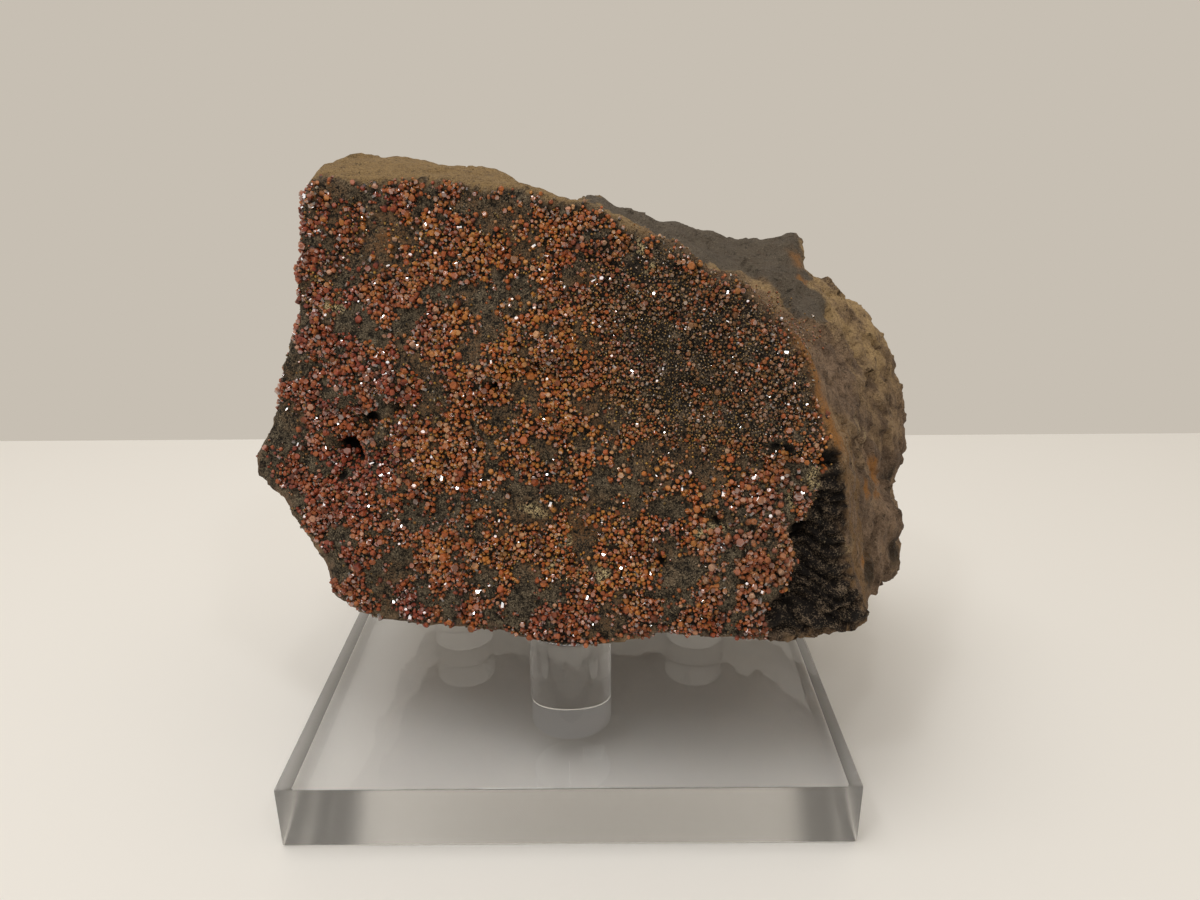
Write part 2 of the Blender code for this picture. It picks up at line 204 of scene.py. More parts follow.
# The lump of matrix: five outlines from front to back in millimetres, clockwise from the top left
lump = {
    "crystalRim": [
        (-44.5, -11, 107), (-42.5, -11, 108.5), (-38.5, -12, 108.5), (-28.5, -14, 109), (-21.5, -15.5, 109),
        (-15, -17, 108), (-7, -19, 107.5), (-1.5, -20.5, 106), (5, -22, 105), (8.5, -23, 103),
        (13.5, -24, 100.5), (18, -25, 99.5), (21, -26, 97.5), (23, -26.5, 95.5), (27, -27, 94.5),
        (29.5, -27.5, 93), (31.5, -28, 91), (35, -29, 87.5), (38, -30, 84), (40, -30.5, 81),
        (41.5, -31.5, 75), (43.5, -33, 70), (45.5, -34, 65.5), (47, -34.5, 60), (47, -35, 54),
        (47.5, -36, 47.5), (49.5, -37, 41.5), (52, -37.5, 36), (48, -39, 36), (42.5, -40, 35.5),
        (35.5, -41.5, 35), (29, -41.5, 36), (15.5, -39.5, 36), (11.5, -39, 34.5), (6, -38, 33),
        (1.5, -37.5, 32.7), (-4, -36.5, 33), (-10.5, -34.5, 33.4), (-16.5, -33, 33), (-23.5, -31.5, 33.2),
        (-31, -30, 32.8), (-35, -29, 33), (-39.5, -28, 34), (-43, -26.5, 36), (-44, -25.5, 39.5),
        (-45.5, -24.5, 44), (-48.5, -23, 47), (-50.5, -22, 51), (-51.5, -21, 53.5), (-55, -19.5, 55),
        (-57.8, -18.5, 57), (-57, -18, 61), (-54.5, -17.5, 64.5), (-52.5, -17, 68.5), (-51, -16, 76),
        (-49, -15.5, 81), (-46.5, -15, 86), (-47, -14, 90.5), (-46, -13, 96), (-45, -12, 101.5),
    ],
    "frontShoulder": [
        (-47, -4, 106), (-43, -4, 110.8), (-38, -5, 111.2), (-28, -6, 111), (-21, -7, 110),
        (-14, -8, 108.7),
        (-7, -9, 107), (-1, -10, 104.5), (6, -11, 102.5), (14, -12, 98), (20, -12, 94), (26, -12, 90),
        (33, -12, 86.5), (40, -12, 84), (46, -12, 81), (50, -12, 76.5), (53, -12, 70), (56, -13, 62),
        (59, -14, 54), (62, -15, 46), (64.5, -15, 38), (64, -17, 34.5), (55, -20, 34.5), (45, -20, 34.5),
        (30, -20, 34.5), (0, -20, 34), (-30, -18, 34), (-42, -17, 35), (-47, -15, 41), (-51, -14, 48),
        (-56, -12, 55), (-57, -11, 60), (-54, -10, 66), (-51, -9, 75), (-49, -8, 84), (-47.5, -6, 95),
    ],
    "shoulder": [
        (-46, 2, 106), (-43, 2, 111), (-39, 2, 112), (-32, 2, 111.5), (-27, 2, 111), (-24.5, 2, 110),
        (-18, 2, 109.5), (-12.5, 2, 109), (-9, 3, 106), (-2, 6, 102), (5, 14, 101.5), (13.5, 14, 99),
        (16.5, 14, 98), (21, 14, 98.5), (30, 14, 96), (32, 14, 94.5), (38, 14, 94.5), (45, 14, 95),
        (46.5, 14, 93.5), (49, 14, 87.5), (52, 14, 86.5), (55, 14, 84), (59, 14, 81.5), (64.5, 14, 76.5),
        (67, 14, 73.5), (68, 14, 69), (69, 14, 65.5), (71, 14, 58.5), (71.5, 13, 54), (71, 11, 48),
        (69, 8, 45.5), (68, 2, 41), (68.5, -1, 37), (66, -3, 34.5), (60, 0, 34), (45, 2, 34),
        (30, 0, 34), (0, 0, 34), (-30, 0, 34), (-42, 2, 36), (-48, 2, 44), (-52, 2, 54), (-53, 2, 62),
        (-50, 2, 72), (-47, 2, 84), (-46, 2, 96),
    ],
    "backShoulder": [
        (-41, 28, 100), (-30, 30, 103), (-15, 30, 101), (0, 30, 97), (15, 31, 94), (30, 31, 91),
        (42, 31, 85), (53, 30, 76), (60, 29, 66), (61, 28, 55), (57, 28, 43), (48, 29, 36),
        (30, 30, 34), (0, 30, 34), (-30, 30, 34), (-41, 30, 35), (-47, 28, 46), (-48, 27, 60),
        (-46, 27, 75), (-44, 27, 90),
    ],
    "backRim": [
        (-32, 39, 88), (-15, 41, 91), (5, 42, 87), (25, 41, 81), (40, 40, 71), (47, 39, 59),
        (44, 39, 46), (39, 40, 38), (20, 41, 36), (0, 42, 36), (-20, 42, 36), (-37, 41, 37),
        (-42, 39, 50), (-41, 39, 65), (-37, 39, 78),
    ],
    "axis": (6, 68),
    "faceCentre": (-2, 70),
    "backCentre": (4, 45, 62),
    "sides": 220,
    "faceRings": 40,
    "sideRings": (14, 14, 22, 14),
    "backRings": 22,
    "voxel": 0.74,
    "facePlane": (-36.5, -0.18, 0.21),
    "faceFoot": 32,
    # x, z, radius and depth of each hollow, or lump where the depth is negative
    "relief": [
        (-39, 63, 5, 1.2), (-34, 69, 5, 1), (-24, 53, 2.8, 1.6), (-28, 42, 4.6, 1.8), (9, 87, 3.6, 1.5),
        (-15, 92, 8, 0.9), (-36, 97, 7, 0.9), (33, 63, 3.4, 2.0), (20, 51, 2.4, 1.6), (40, 50, 7, 2.2),
        (26, 46, 9, -2.2), (-16, 78, 7, -1.4), (-2, 50, 10, 1.3), (22, 78, 12, 1.0),
        (-33, 78, 8, -1.2), (10, 62, 8, -0.8), (-40, 47, 7, -1.2),
    ],
    # cavities as x, z, radius and depth; their inside is painted near black as shade
    "pits": [
        (-39.4, 63.4, 2.3, 5), (-37.4, 61.8, 1.8, 4), (-31.8, 62.4, 1.3, 3), (-29.4, 71.4, 1.5, 3.5),
        (-35, 68.6, 1.9, 3.5), (-24.4, 58.2, 1.4, 3), (-40.6, 58, 1.2, 2.5), (36.5, 67.6, 1.7, 2.6),
        (34, 68, 1.3, 2.2), (43, 65.6, 2.2, 3), (38.6, 53.6, 2, 2.8), (25, 55.4, 1.3, 2.2),
        (-12, 76, 1.2, 2.4), (16, 48, 1.3, 2.4),
    ],
    # how far the sooty facet at the lower right stands behind the crystals
    "sootStep": 2.2,
    # the two ends of each ledge, its height and its width
    "ledges": [((-24, 77), (1, 82), 1.6, 9), ((32, 67), (44, 66), 1.8, 6), ((30, 52), (38, 49), 1.6, 7)],
    # the relief that the solid has too; a pair is the height at the front and what the back adds to it
    "swell": 0.4,
    "broadSize": 16,
    "broadHeight": (0.35, 1.2),
    "fineSize": 4.5,
    "fineHeight": (0.35, 0.2),
    "chipSize": 14,
    "chipSlope": 3.2,
    # the finer relief of the scene alone; each facet is a size and a slope
    "facets": [(6.5, 2.4), (3.2, 1.3)],
    "grainHeight": 0.2,
    "knobSize": 4,
    "knobHeight": 0.7,
    "ribHeight": 0.85,
    "ribPitch": 2.3,
    "ribSlant": 0.4,
    "ribWaver": 9,
    # how far the underside is pressed level over the posts, and the least height above its lowest point
    "pressShare": 0.97,
    "leastHeight": 0.15,
    # in rings of the loft: how far before the edge the crystals end, over how many rings, and how far they
    # reach round the left edge; then the middle and width of the ochre ridge
    "crustShort": 0.8,
    "crustFade": 1.6,
    "crustLeft": 5,
    "ridge": (39.5, 1.2),
}

# Where matrix shows between the crystals: x, z and the two radii of each bare patch
bare = {
    "patches": [
        (-36, 107, 5, 2), (-32.3, 97.5, 3.8, 4.4), (-27, 100.3, 2, 1.6), (-20.7, 90.8, 4.2, 1.7),
        (-14.5, 89.6, 3, 2.8), (-10, 91, 2.2, 1.3), (-6.1, 97.7, 2.6, 2), (-9.3, 105, 1.9, 1.3),
        (-14.2, 104.6, 2.8, 1.5), (-37.6, 92.8, 2.4, 2.4), (-37, 85.5, 5.2, 3.2), (-32, 83, 2.2, 2),
        (-16.1, 82.5, 1.7, 4.4), (-24, 78, 2.2, 1.4), (-6.7, 75.1, 3, 2), (-2.8, 86.1, 1.6, 1.2),
        (3.5, 73.3, 2.4, 1.7), (10.9, 96.4, 1.8, 1.4), (-51, 67, 4.6, 4.4), (-45.1, 59.8, 2.6, 1.6),
        (-40.9, 47.7, 3.2, 1.9), (-42.5, 42.1, 2.8, 2), (-31.6, 43.9, 4, 3.8), (-12.7, 64.3, 1.8, 3),
        (-8.3, 58.1, 4, 1.9), (-6.4, 54.4, 4.6, 2.9), (-7, 44.2, 2.4, 2), (-8, 39.7, 2, 1.8),
        (-3.3, 65.2, 2, 1.9), (-21.3, 37.2, 1.9, 2.2), (6.4, 60.5, 2.8, 3.4), (6.9, 56.9, 2.1, 1.6),
        (13.9, 66.3, 2.3, 1.7), (17.8, 57.1, 4.2, 2.2), (24.3, 62, 2.6, 1.9), (29.4, 65.3, 2, 1.5),
        (2.6, 50.3, 1.9, 3.6), (-0.5, 57.8, 1.6, 2.7), (19.1, 46.1, 3.2, 3.2), (27, 50.2, 1.8, 1.5),
        (39.6, 63.4, 2.1, 2.4), (36.7, 60.1, 1.6, 1.6), (-49.4, 79, 1.6, 3), (-34.5, 69, 3, 1.2),
    ],
    # the line down the right of the face where the crystals end, as z then x
    "edge": [(30, 34), (38, 34), (41, 32.5), (44.6, 36), (48, 38.3), (52, 35.8), (55, 38.3), (60, 41),
             (67, 44)],
    "pale": [(-5.6, 54.6, 2.4, 0.8), (-0.4, 49.7, 0.8, 1.9), (-2.8, 44.6, 0.8, 1.8), (5.6, 44.9, 1.1, 1.1),
             (24, 54.2, 2.6, 0.6), (41.2, 62.6, 1.5, 2), (37.4, 58.9, 0.9, 1.8), (-41.2, 87.9, 2.6, 1.1),
             (14, 95.5, 0.8, 0.8), (12.4, 98.2, 0.8, 1)],
    # where the small crystals are golden
    "golden": [(-2, 76, 15, 12), (8, 90, 10, 6), (-41, 104, 3.5, 6), (-43.5, 89, 3, 6), (2, 50, 16, 8),
               (-22, 79, 8, 5), (-26, 66, 6, 8), (20, 66, 10, 7),
               (-30, 98, 9, 6), (-8, 99, 9, 5)],
    # where the crystals are fine, where they form knobs, and where few are left
    "fine": [(25, 80, 20, 14), (13, 90, 10, 8)],
    "knobs": [(31, 51, 9, 10), (36, 61, 6, 4)],
    "worn": [(-56, 61, 4, 8)],
}


# The broken sides: where the dark slate patch starts (x, y) and ends (y, x). Stains are x, y, z and radius.
sides = {
    "slateStart": [(0, -30), (6, -20), (15, -6), (24, -7.4), (28, -4.8), (32.5, -2.7), (36, -3.2),
                   (39.4, -6), (41.8, -9.8), (44, -10.5)],
    "slateEnd": [(-10.5, 44), (-5, 49), (0, 50), (1.5, 49), (3, 46), (14, 45.5)],
    "rustSpots": [(57, -14, 55, 3), (52.6, -26, 56, 1.5), (57, -18, 52, 1.4), (51.4, -32, 45.6, 1.2),
                  (46.5, 7, 92, 3), (46, 3, 88.5, 2)],
    "beigeSpots": [(52, -19, 65.5, 2.6), (55, -14, 62, 2), (50, -31, 62, 2), (47, -35, 50, 1.6)],
    "darkSpots": [(53.5, -31, 42.5, 2.6), (62, -18, 40, 3), (55, -24, 60, 2.5), (66, -6, 50, 3)],
}


# The start and end of each fade, in millimetres, in rings of the loft or in shares of a ledge's length
spans = {
    "back": (-30, 0), "sootStart": (-0.6, 1.2), "sootEnd": (14, 5), "sootTop": (63, 58),
    "ledgeStart": (-0.15, 0.1), "ledgeEnd": (1.15, 0.9), "ledgeLip": (-0.8, 0.6),
    "postReach": (7, 15), "pressHeight": (2, 9), "crustX": (-44, -36), "crustZ": (60, 66),
    "beyondX": (-0.7, 0.7), "beyondZ": (66, 69), "fineX": (-2, 10), "clumps": (-0.2, 0.12),
    "coarseX": (-30, -10), "ridgeX": (30, 34), "ridgeFoot": (64, 68), "ridgeTop": (83, 87),
    "lipY": (-14, -4), "lipX": (10, 18), "lipZ": (78, 86), "bandRing": (42, 45), "bandX": (36, 42),
    "bandZ": (68, 74), "brokenRing": (41, 45), "slateStart": (-0.7, 0.7), "slateEnd": (-0.6, 0.6),
    "slateX": (3, 4.5), "slateZ": (80, 83), "slateBack": (20, 26), "topBand": (96, 103),
    "upperY": (-12, 2), "upperZ": (56, 74), "redX": (-46, -10), "redFoot": (44, 37),
}


def span(name, value):
    return smoothStep(*spans[name], value)


def faceDepth(x, z):
    base, across, back = lump["facePlane"]
    y = base + across * x + back * (z - lump["faceFoot"])
    for centreX, centreZ, radius, depth in lump["relief"]:
        y = y + depth * np.exp(-((x - centreX) ** 2 + (z - centreZ) ** 2) / radius**2)
    for centreX, centreZ, radius, depth in lump["pits"]:
        y = y + depth * np.exp(-((((x - centreX) ** 2 + (z - centreZ) ** 2) / radius**2) ** 2))
    beyond = x - np.interp(z, *zip(*bare["edge"]))
    y = y + lump["sootStep"] * span("sootStart", beyond) * span("sootEnd", beyond) * span("sootTop", z)
    for (x1, z1), (x2, z2), height, width in lump["ledges"]:
        along = (x - x1) / (x2 - x1)
        above = z - (z1 + (z2 - z1) * along)
        ends = span("ledgeStart", along) * span("ledgeEnd", along)
        fade = np.exp(-((np.maximum(above, 0) / width) ** 2))
        y = y - height * ends * span("ledgeLip", above) * fade
    return y


def ringAt(outline):
    points = np.array(outline, float)
    angles = np.arctan2(points[:, 2] - lump["axis"][1], points[:, 0] - lump["axis"][0])
    steps = np.linspace(math.pi, -math.pi, lump["sides"], endpoint=False)
    return np.stack([np.interp(steps, angles, points[:, k], period=2 * math.pi) for k in range(3)], 1)


def faceRing(rim, share):
    centreX, centreZ = lump["faceCentre"]
    x = centreX + (rim[:, 0] - centreX) * share
    z = centreZ + (rim[:, 2] - centreZ) * share
    depth = faceDepth(x, z)
    return np.stack([x, depth + (rim[:, 1] - depth) * share**5, z], 1)


def lumpRings():
    names = ("crystalRim", "frontShoulder", "shoulder", "backShoulder", "backRim")
    stages = [ringAt(lump[name]) for name in names]
    rings = [faceRing(stages[0], step / lump["faceRings"]) for step in range(1, lump["faceRings"])]
    for start, end, count in zip(stages, stages[1:], lump["sideRings"]):
        rings += [start + (end - start) * step / count for step in range(count)]
    centre = np.array(lump["backCentre"], float)
    for step in range(lump["backRings"]):
        share = step / lump["backRings"]
        ring = stages[-1] + (centre - stages[-1]) * share
        ring[:, 1] = stages[-1][:, 1] + (centre[1] - stages[-1][:, 1]) * math.sin(share * math.pi / 2)
        rings.append(ring)
    return rings


def loftLump():
    bm = bmesh.new()
    middle = (lump["faceCentre"][0], float(faceDepth(*lump["faceCentre"])), lump["faceCentre"][1])
    front = bm.verts.new(Vector(middle) * mm)
    loops = [[bm.verts.new(Vector(point) * mm) for point in ring] for ring in lumpRings()]
    back = bm.verts.new(Vector(lump["backCentre"]) * mm)
    for side in range(lump["sides"]):
        after = (side + 1) % lump["sides"]
        bm.faces.new((front, loops[0][side], loops[0][after]))
        bm.faces.new((back, loops[-1][after], loops[-1][side]))
        for inner, outer in zip(loops, loops[1:]):
            bm.faces.new((inner[side], outer[side], outer[after], inner[after]))
    bmesh.ops.recalc_face_normals(bm, faces=bm.faces)
    return meshFrom(bm, "matrixRock")


def facetAt(point, size, slope):  # each cell of the rock breaks at a tilt of its own
    corner = noise.voronoi(point / size)[1][0]
    tilt = noise.cell_vector(corner * 7) - Vector((0.5, 0.5, 0.5))
    return (point / size - corner).dot(tilt) * slope


def chippedBy(point):  # the same broken facets as the solid has
    _, across, slope = lump["facePlane"]
    back = float(span("back", point.y - slope * (point.z - lump["faceFoot"]) - across * point.x))
    level, rise = lump["broadHeight"]
    broad = noise.fractal(point / lump["broadSize"] + Vector((3, 1, 7)), 0.9, 2.1, 3) * (level + rise * back)
    chip = facetAt(point, lump["chipSize"], lump["chipSlope"]) * back
    level, rise = lump["fineHeight"]
    fine = noise.fractal(point / lump["fineSize"], 1, 2, 2) * (level + rise * back)
    return lump["swell"] + broad + chip + fine


def settleOnPosts(point, lowest, posts):
    nearest = min(math.hypot(point.x - x, point.y - y) for x, y in posts)
    height = max(point.z - lowest, lump["leastHeight"] * math.exp(min(point.z - lowest, 0)))
    press = (1 - span("postReach", nearest)) * (1 - span("pressHeight", height))
    point.z = lowest + height * (1 - lump["pressShare"] * float(press))


def postCentres():
    centres = []
    for name in rods:
        low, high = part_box(name)
        centres.append(((low.x + high.x) / 2 / mm, (low.y + high.y) / 2 / mm))
    return centres


def patchMask(x, z, patches, softness=0.25):
    mask = np.zeros_like(x)
    for centreX, centreZ, radiusX, radiusZ in patches:
        far = np.sqrt(((x - centreX) / radiusX) ** 2 + ((z - centreZ) / radiusZ) ** 2)
        mask = np.maximum(mask, 1 - smoothStep(1 - softness, 1 + softness, far))
    return mask


def noiseAt(points, size, octaves=3, shift=0):
    move = Vector((shift, shift * 2, shift * 3))
    return np.array([noise.fractal(Vector(point) / size + move, 1, 2, octaves) for point in points])


def addAttribute(mesh, name, values):
    layer = mesh.attributes.new(name, "FLOAT", "POINT")
    layer.data.foreach_set("value", np.clip(values, 0, 4).astype(np.float32))


def nearSpots(points, spots, softness=0.4):
    mask = np.zeros(len(points))
    for *centre, radius in spots:
        far = np.linalg.norm(points - np.array(centre), axis=1) / radius
        mask = np.maximum(mask, 1 - smoothStep(1 - softness, 1 + softness, far))
    return mask


def loftRings(points):  # which ring of the loft each point lies by
    rings = lumpRings()
    tree = KDTree(len(rings) * lump["sides"])
    for index, ring in enumerate(rings):
        for side, point in enumerate(ring):
            tree.insert(point, index * lump["sides"] + side)
    tree.balance()
    return np.array([tree.find(Vector(point))[1] // lump["sides"] for point in points], float)


def surfaceMasks(points):
    x, y, z = points.T
    broad, middle, fine = noiseAt(points, 5, 3, 4), noiseAt(points, 2.6, 3, 7), noiseAt(points, 1.3, 2, 9)
    warped = points + np.stack([middle, fine, broad], 1) * 1.1
    warpX, warpZ = warped[:, 0], warped[:, 2]
    ring = loftRings(points)
    wrap = lump["crustLeft"] * (1 - span("crustX", x)) * span("crustZ", z)
    last = lump["faceRings"] - lump["crustShort"] + wrap
    face = 1 - smoothStep(last - lump["crustFade"], last, ring + fine * 1.2)
    side = 1 - face
    edge = np.interp(z + broad, *zip(*bare["edge"]))
    beyond = span("beyondX", x - edge + middle * 1.4) * (1 - span("beyondZ", z))
    patches = patchMask(warpX, warpZ, bare["patches"], 0.3)
    fineZone = face * patchMask(warpX, warpZ, bare["fine"], 0.4) * span("fineX", x)
    knobZone = patchMask(warpX, warpZ, bare["knobs"], 0.3) * face * (1 - beyond)
    clumps = span("clumps", broad + 0.55 * middle + 0.3 * fine + 0.15)
    worn = patchMask(x, z, bare["worn"], 0.5)
    pits = patchMask(x, z, [(a, b, radius * 0.8, radius * 0.8) for a, b, radius, _ in lump["pits"]], 0.25)
    pale = patchMask(warpX, warpZ, bare["pale"], 0.4)
    openFace = face * (1 - beyond) * (1 - 0.9 * patches) * (1 - 0.9 * worn) * (1 - pits) * (1 - 0.7 * pale)
    ridgeRing, ridgeWide = lump["ridge"]
    ridge = np.exp(-(((ring - ridgeRing) / ridgeWide) ** 2)) * span("ridgeX", x)
    ridge = ridge * span("ridgeFoot", z) * (1 - span("ridgeTop", z))
    lip = side * (1 - span("lipY", y)) * span("lipX", x) * span("lipZ", z)
    band = side * (1 - span("bandRing", ring + fine * 1.5)) * span("bandX", x) * (1 - span("bandZ", z))
    slate = span("slateStart", y - np.interp(x, *zip(*sides["slateStart"])) + middle)
    slate = slate * (1 - span("slateEnd", x - np.interp(y, *zip(*sides["slateEnd"])) + middle))
    slaty = side * slate * span("slateX", x + 5 * broad + 2 * middle)
    return {
        "crust": face * (1 - beyond),
        "soot": face * beyond,
        "pale": face * pale,
        # where the pits get painted shade
        "pit": face * pits,
        "golden": face * patchMask(warpX, warpZ, bare["golden"], 0.5),
        "fineZone": fineZone,
        "knobZone": knobZone,
        "redness": np.maximum(1 - span("redX", x + broad * 8), 0.8 * span("redFoot", z + broad * 3)),
        "rough": face * (1 - 0.5 * patches),
        "broken": span("brokenRing", ring) * (1 - 0.7 * slate * span("slateZ", z)),
        "growth": openFace * (0.07 + 0.93 * clumps) * (1 - 0.2 * fineZone),
        "druse": np.maximum(openFace * np.minimum(0.1 + 0.5 * clumps + 0.9 * fineZone, 1), 0.4 * lip),
        "grit": np.maximum(face * (0.86 - 0.2 * beyond), 0.8 * lip + 0.5 * band),
        "grainSize": 1 + 0.12 * (1 - span("coarseX", x)) - 0.2 * fineZone + 0.25 * knobZone,
        "slate": slaty * span("slateZ", z) * (1 - span("slateBack", y)),
        "lip": lip,
        "band": band,
        "rust": np.maximum(ridge, side * nearSpots(warped, sides["rustSpots"])),
        "beige": side * nearSpots(warped, sides["beigeSpots"]),
        "shade": side * nearSpots(warped, sides["darkSpots"]),
        "topBand": side * span("topBand", z),
        "upperSide": side * span("upperY", y - 0.3 * (78 - z) + broad * 6) * span("upperZ", z),
    }


def roughenLump(mesh, masks):
    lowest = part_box("vanadinite_matrix")[0].z / mm
    posts = postCentres()
    ribs = masks["soot"] * lump["ribHeight"]
    calmed = 1 - 0.6 * (masks["slate"] + masks["upperSide"]).clip(0, 1)
    knobbly = masks["rough"] * lump["knobHeight"]
    moved = []
    for vert, rib, calm, knob, rugged in zip(mesh.vertices, ribs, calmed, knobbly, masks["broken"]):
        point = vert.co / mm
        grain = noise.fractal(point / 1.1, 0.8, 2.2, 2) + 0.9 * noise.fractal(point / 2.6, 1, 2, 2)
        phase = math.tau * (point.z + lump["ribSlant"] * point.x) / lump["ribPitch"]
        wave = math.sin(phase + lump["ribWaver"] * noise.noise(point / 5))
        lumps = noise.fractal(point / lump["knobSize"] + Vector((9, 2, 5)), 0.9, 2, 3)
        height = grain * lump["grainHeight"] * calm + lumps * knob + wave * rib
        if rugged > 0.01:
            height += rugged * sum(facetAt(point + Vector((40, 9, 3)), *facet) for facet in lump["facets"])
        point += Vector(vert.normal) * (chippedBy(point) + height)
        settleOnPosts(point, lowest, posts)
        moved.append(point)
    mesh.vertices.foreach_set("co", (np.array(moved) * mm).astype(np.float32).ravel())
    mesh.update()


def makeLump():
    made = newObject("matrixRock", loftLump())
    even = made.modifiers.new("even", "REMESH")
    even.mode = "VOXEL"
    even.voxel_size = lump["voxel"] * mm
    bake(made)
    masks = surfaceMasks(np.array([vert.co / mm for vert in made.data.vertices]))
    for name, values in masks.items():
        addAttribute(made.data, name, values)
    roughenLump(made.data, masks)
    made.data.shade_smooth()
    return made


matrixRock = makeLump()
print("matrix rock:", len(matrixRock.data.polygons), "faces")


# The matrix's finish: granular rock in zones of olive grey, ochre, mauve brown and near black. Its darkest
# colour is the colour of the dark grains and also paints shade between the crystals and in the pits
rockColors = {
    "olive": rgb(112, 100, 82), "oliveLight": rgb(172, 156, 128), "oliveDark": rgb(30, 26, 20),
    "shadeAndDarkGrain": rgb(16, 11, 7), "rust": rgb(132, 86, 42), "ochre": rgb(186, 156, 112),
    "mauve": rgb(156, 130, 106), "mauveDark": rgb(92, 74, 60), "slate": rgb(96, 88, 78),
    "slateLight": rgb(114, 104, 90), "soot": rgb(30, 25, 22), "sootLight": rgb(150, 130, 108),
    "pale": rgb(226, 204, 154), "topBrown": rgb(156, 128, 86), "lipBrown": rgb(118, 88, 62),
    "orange": rgb(172, 118, 60), "beige": rgb(178, 154, 118), "band": rgb(136, 106, 72),
}


def rockFinish():
    made = Finish("matrixRock")
    c = rockColors
    tone = made.attribute("tone")  # only the grains have it
    grit = made.noise(0.00028, 2, 0.7)
    grain = made.noise(0.0007, 3, 0.7)
    coarse = made.noise(0.0019, 4, 0.7)
    cloud = made.noise(0.006, 4, 0.6)
    stain = made.noise(0.012, 5, 0.6)
    mottle = 0.35 * grit + 0.35 * grain + 0.3 * coarse
    drawnUp = made.node("ShaderNodeMapping", {}, {"Vector": made.place(), "Scale": (1.0, 1.0, 0.25)})
    streaks = made.noise(0.002, 4, 0.7, place=drawnUp)
    flecks = 0.5 * grit + 0.5 * streaks
    # the crystal face
    face = made.mix(made.ramp(mottle, 0.42, 0.57), c["oliveDark"], c["olive"])
    face = made.mix(made.ramp(grit, 0.55, 0.66) * made.ramp(coarse, 0.4, 0.55) * 0.8, face, c["oliveLight"])
    face = made.mix(made.ramp(stain, 0.52, 0.64) * made.ramp(mottle, 0.46, 0.58) * 0.5, face, c["rust"])
    face = made.mix(made.attribute("golden") * made.ramp(mottle, 0.46, 0.56) * 0.5, face, c["rust"])
    # painted shade: the matrix turns near black where the crystals grow thick, for the shade between them
    face = made.mix(made.ramp(made.attribute("growth"), 0.3, 0.9) * 0.8, face, c["shadeAndDarkGrain"])
    sooty = made.mix(made.ramp(0.5 * grit + 0.5 * coarse, 0.5, 0.63), c["soot"], c["sootLight"])
    face = made.mix(made.attribute("fineZone") * 0.85, face, sooty)
    specks = made.ramp(0.5 * grit + 0.5 * grain, 0.47, 0.56)
    face = made.mix(made.attribute("pale") * specks, face, c["pale"])
    # the broken sides
    side = made.mix(made.ramp(0.5 * mottle + 0.5 * cloud, 0.38, 0.6), c["mauveDark"], c["mauve"])
    side = made.mix(made.attribute("upperSide") * made.ramp(cloud, 0.3, 0.6), side, c["ochre"])
    side = made.mix(made.ramp(stain, 0.5, 0.66) * 0.4, side, c["ochre"])
    side = made.mix(made.attribute("topBand") * 0.9, side, c["topBrown"])
    side = made.mix(made.attribute("topBand") * made.ramp(grain, 0.54, 0.64) * 0.45, side, c["mauveDark"])
    side = made.mix(made.attribute("lip") * made.ramp(mottle, 0.4, 0.52), side, c["lipBrown"])
    slaty = made.mix(made.ramp(mottle, 0.5, 0.62) * 0.5, c["slate"], c["slateLight"])
    side = made.mix(made.attribute("slate") * 0.95, side, slaty)
    side = made.mix(made.attribute("band") * made.ramp(streaks, 0.4, 0.55), side, c["band"])
    side = made.mix(made.attribute("shade") * 0.8, side, c["oliveDark"])
    side = made.mix(made.attribute("beige") * made.ramp(flecks, 0.46, 0.56), side, c["beige"])
    side = made.mix((1 - made.ramp(mottle, 0.38, 0.5)) * 0.6, side, c["mauveDark"])
    side = made.mix((1 - made.ramp(made.noise(0.0012, 4, 0.75), 0.34, 0.44)) * 0.6, side, c["oliveDark"])
    side = made.mix(made.ramp(grit, 0.6, 0.7) * 0.45, side, c["oliveLight"])
    color = made.mix(made.attribute("crust"), side, face)
    color = made.mix(made.attribute("soot"), color, sooty)
    color = made.mix(made.attribute("rust") * made.ramp(flecks, 0.36, 0.5) * 0.9, color, c["orange"])
    color = made.mix(made.ramp(tone, 0.6, 0.95) * 0.5, color, c["oliveLight"])
    darkGrain = (1 - made.ramp(tone, 0.05, 0.35)) * made.ramp(tone, 0.001, 0.01)
    color = made.mix(darkGrain * 0.8, color, c["shadeAndDarkGrain"])
    # painted shade: the pits are painted near black for the shade inside them
    color = made.mix(made.attribute("pit"), color, c["shadeAndDarkGrain"])
    height = 0.5 * grit + grain + 1.2 * coarse
    return made.set(Base_Color=color, Roughness=0.65 + 0.25 * grain, Specular_IOR_Level=0.2,
                    Normal=made.bump(height, 0.0009, 1.0))


matrixRock.data.materials.clear()
matrixRock.data.materials.append(rockFinish())
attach(matrixRock, "root")
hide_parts("vanadinite_matrix")
print("matrix rock finished")


